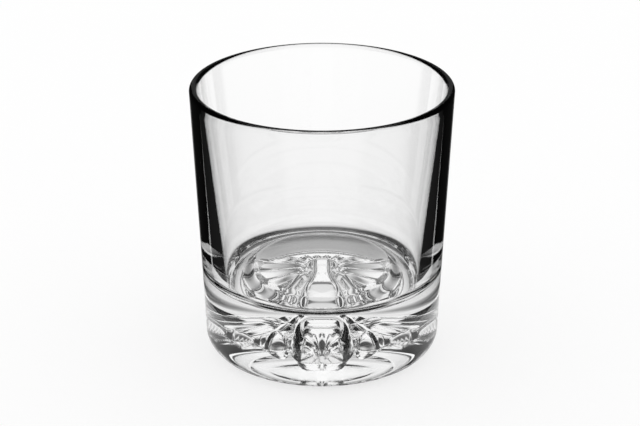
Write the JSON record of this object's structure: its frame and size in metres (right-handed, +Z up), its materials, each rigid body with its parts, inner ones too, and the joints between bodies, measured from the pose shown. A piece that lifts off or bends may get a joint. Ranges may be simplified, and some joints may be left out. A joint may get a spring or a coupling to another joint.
{
  "type": "whiskey glass",
  "caption": "Heavy-based straight-sided whiskey tumbler in clear pressed glass, with an elephant's head moulded into the underside and seen through the base.",
  "frame": {"origin": "centre of the foot, on the plane that the glass stands on", "axes": "+Z up, out of the bowl; -Y is the side that the elephant's trunk points to"},
  "size_m": [0.086, 0.086, 0.092],
  "materials": {
    "clear_glass": "clear fire-polished pressed glass, smooth inside and out"
  },
  "bodies": {
    "root": {"tumbler": "clear_glass"}
  },
  "joints": []
}
